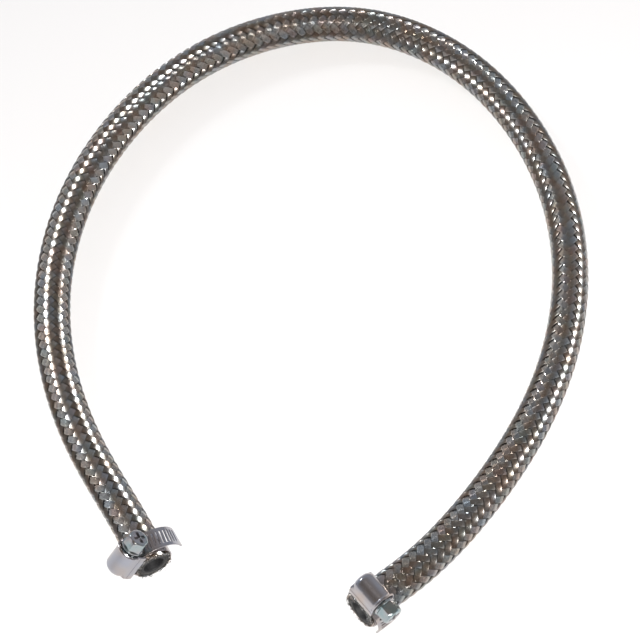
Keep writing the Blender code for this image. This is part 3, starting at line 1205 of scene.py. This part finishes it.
    def _head_face(self, edge_radius: float) -> tuple[np.ndarray, np.ndarray]:
        """The head's end face as a square grid drawn out to a circle.

        A point moves out only near the edge, in the outer 0.22 of the grid, by the
        ratio of its square distance to its round one.

        Args:
            edge_radius: the radius of the face's edge.

        Returns:
            Points, shape (n, 3), and quads.
        """
        s = self.sizes
        lines = self.face_lines()
        a, b = np.meshgrid(lines, lines, indexing="ij")
        reach = np.maximum(np.abs(a), np.abs(b))
        pull = reach / np.maximum(np.hypot(a, b), 1e-9)
        blend = smooth_step((reach - 0.78) / 0.22)
        scale = 1.0 + (pull - 1.0) * blend
        narrow, long = 0.151, 0.701
        arm = (np.abs(a) <= narrow) & (np.abs(b) <= long)
        crossing_arm = (np.abs(b) <= narrow) & (np.abs(a) <= long)
        depth = np.where(arm | crossing_arm, s.driver_depth, 0.0)
        points = np.stack([s.head_end - depth, a * scale * edge_radius, b * scale * edge_radius], axis=-1)
        quads = grid_faces(len(lines), len(lines), closed=False)
        return points.reshape(-1, 3), quads

    def _weld(self, obj: bpy.types.Object) -> None:
        """Joins points that coincide, so that separate surfaces close.

        Args:
            obj: the mesh object, which keeps its sharp edges.
        """
        bm = bmesh.new()
        bm.from_mesh(obj.data)
        bmesh.ops.remove_doubles(bm, verts=bm.verts, dist=0.005 * MM)
        bm.to_mesh(obj.data)
        bm.free()
        obj.data.shade_smooth()
        obj.data.set_sharp_from_angle(angle=math.radians(self.screw_sharp_degrees))

    def build(self) -> None:
        """Makes the clip's four pieces."""
        self.make_band()
        self.make_tail()
        self.make_housing()
        self.make_screw()


# ------------------------------------------------------------------- studio
@dataclass
class Studio:
    """A pale floor, soft lights and the camera.

    The key lamp stands beside the camera and casts no shadow, and the side lamp and
    the surroundings give the soft shadow on the floor. A lamp's place is in metres,
    the key's from the camera and the side lamp's from the model's origin. The sky is
    a cosine and a colour for each of its three levels.
    """

    camera_elevation: float = math.radians(60.0)
    camera_distance: float = 1.0
    aim: tuple[float, float, float] = (0.0031, -0.0095, 0.0070)
    lens: float = 147.4
    sensor_width: float = 36.0
    key_place: tuple[float, float, float] = (0.18, 0.09, 0.05)
    key_size: float = 0.05
    key_power: float = 10.5
    side_place: tuple[float, float, float] = (-1.1, 0.9, 0.9)
    side_size: float = 0.25
    side_power: float = 4.0
    floor_half: float = 3.0
    floor_level: float = -0.05 * MM
    floor_shade: float = 0.90
    sky: tuple[tuple[float, tuple[float, float, float]], ...] = (
        (0.15, (0.58, 0.61, 0.68)),
        (0.70, (0.30, 0.26, 0.23)),
        (0.97, (0.15, 0.115, 0.095)),
    )
    sky_strength: float = 0.8

    def build(self) -> None:
        """Sets the whole stage."""
        bpy.context.scene.view_settings.view_transform = "Standard"
        self._floor()
        self._world()
        key_place = self._eye() + Vector(self.key_place)
        self._area("Key", key_place, self.key_size, self.key_power, (1.0, 0.99, 0.98), shadow=False)
        side_place = Vector(self.side_place)
        self._area("Side", side_place, self.side_size, self.side_power, (0.95, 0.98, 1.0), shadow=True)
        self._camera()

    def _towards_camera(self) -> Vector:
        """The direction from the hose to the camera."""
        return Vector((0.0, -math.cos(self.camera_elevation), math.sin(self.camera_elevation)))

    def _eye(self) -> Vector:
        """The camera's place."""
        return Vector(self.aim) + self._towards_camera() * self.camera_distance

    def _floor(self) -> None:
        """A large, plain, nearly white floor under the hose."""
        corners = ((-1.0, -1.0), (1.0, -1.0), (1.0, 1.0), (-1.0, 1.0))
        points = np.array([(x * self.floor_half, y * self.floor_half, self.floor_level) for x, y in corners])
        floor = mesh_object("Floor", points, np.array([[0, 1, 2, 3]]))
        material = bpy.data.materials.new("Pale floor")
        material.use_nodes = True
        shader = material.node_tree.nodes["Principled BSDF"]
        shader.inputs["Base Color"].default_value = (*[self.floor_shade] * 3, 1.0)
        shader.inputs["Roughness"].default_value = 0.9
        shader.inputs["Specular IOR Level"].default_value = 0.1
        floor.data.materials.append(material)

    def _world(self) -> None:
        """A soft surrounding: dark and warm on the camera's side, cool and paler low down.

        The colour follows the cosine of the angle between a direction and the line
        from the hose to the camera.
        """
        world = bpy.data.worlds.new("Studio")
        world.use_nodes = True
        nodes, links = world.node_tree.nodes, world.node_tree.links
        back = nodes["Background"]
        place = nodes.new("ShaderNodeTexCoord")
        dot = nodes.new("ShaderNodeVectorMath")
        dot.operation = "DOT_PRODUCT"
        dot.inputs[1].default_value = self._towards_camera()
        links.new(place.outputs["Generated"], dot.inputs[0])
        ramp = nodes.new("ShaderNodeValToRGB")
        low, (middle_level, middle_colour), high = self.sky
        for element, (level, colour) in zip(ramp.color_ramp.elements, (low, high)):
            element.position = level
            element.color = (*colour, 1.0)
        ramp.color_ramp.elements.new(middle_level).color = (*middle_colour, 1.0)
        links.new(dot.outputs["Value"], ramp.inputs["Fac"])
        links.new(ramp.outputs["Color"], back.inputs["Color"])
        back.inputs["Strength"].default_value = self.sky_strength
        bpy.context.scene.world = world

    def _area(
        self, name: str, place: Vector, size: float, power: float,
        colour: tuple[float, float, float], shadow: bool,
    ) -> None:
        """A square area light aimed at the middle of the hose.

        Args:
            name: the light's name.
            place: where it stands, in metres.
            size: its side in metres.
            power: its power in watts.
            colour: its colour.
            shadow: whether it casts shadows.
        """
        data = bpy.data.lights.new(name, "AREA")
        data.size = size
        data.energy = power
        data.color = colour
        data.use_shadow = shadow
        light = bpy.data.objects.new(name, data)
        bpy.context.scene.collection.objects.link(light)
        light.location = place
        light.rotation_euler = (Vector(self.aim) - place).to_track_quat("-Z", "Y").to_euler()

    def _camera(self) -> None:
        """The camera, high over the open ends and looking at the loop's middle."""
        data = bpy.data.cameras.new("Camera")
        data.lens = self.lens
        data.sensor_width = self.sensor_width
        data.clip_start = 0.05
        data.clip_end = 20.0
        camera = bpy.data.objects.new("Camera", data)
        bpy.context.scene.collection.objects.link(camera)
        camera.location = self._eye()
        camera.rotation_euler = (-self._towards_camera()).to_track_quat("-Z", "Y").to_euler()
        bpy.context.scene.camera = camera


def main() -> None:
    """Builds the stage, the hose and the clips in order."""
    logging.basicConfig(level=logging.INFO, format="%(message)s")
    Studio().build()
    finishes = Finishes()
    path = HosePath(ROUTE)
    hose = RubberHose(path, HoseSizes(), finishes)
    tubes = hose.build()
    braid = WireBraid(path, hose, finishes).build()
    wires = CutWires(path, hose, finishes).build()
    centres = path.frames(np.linspace(0.0, path.length, 160))[0]
    log.info("hose: %.0f mm long", path.length / MM)
    for side, tail_radius, tail_end in (("left", 10.6, 128.0), ("right", 9.6, 119.0)):
        Clip(side, ClipSizes(), finishes, tail_radius * MM, math.radians(tail_end)).build()


if __name__ == "__main__":
    main()
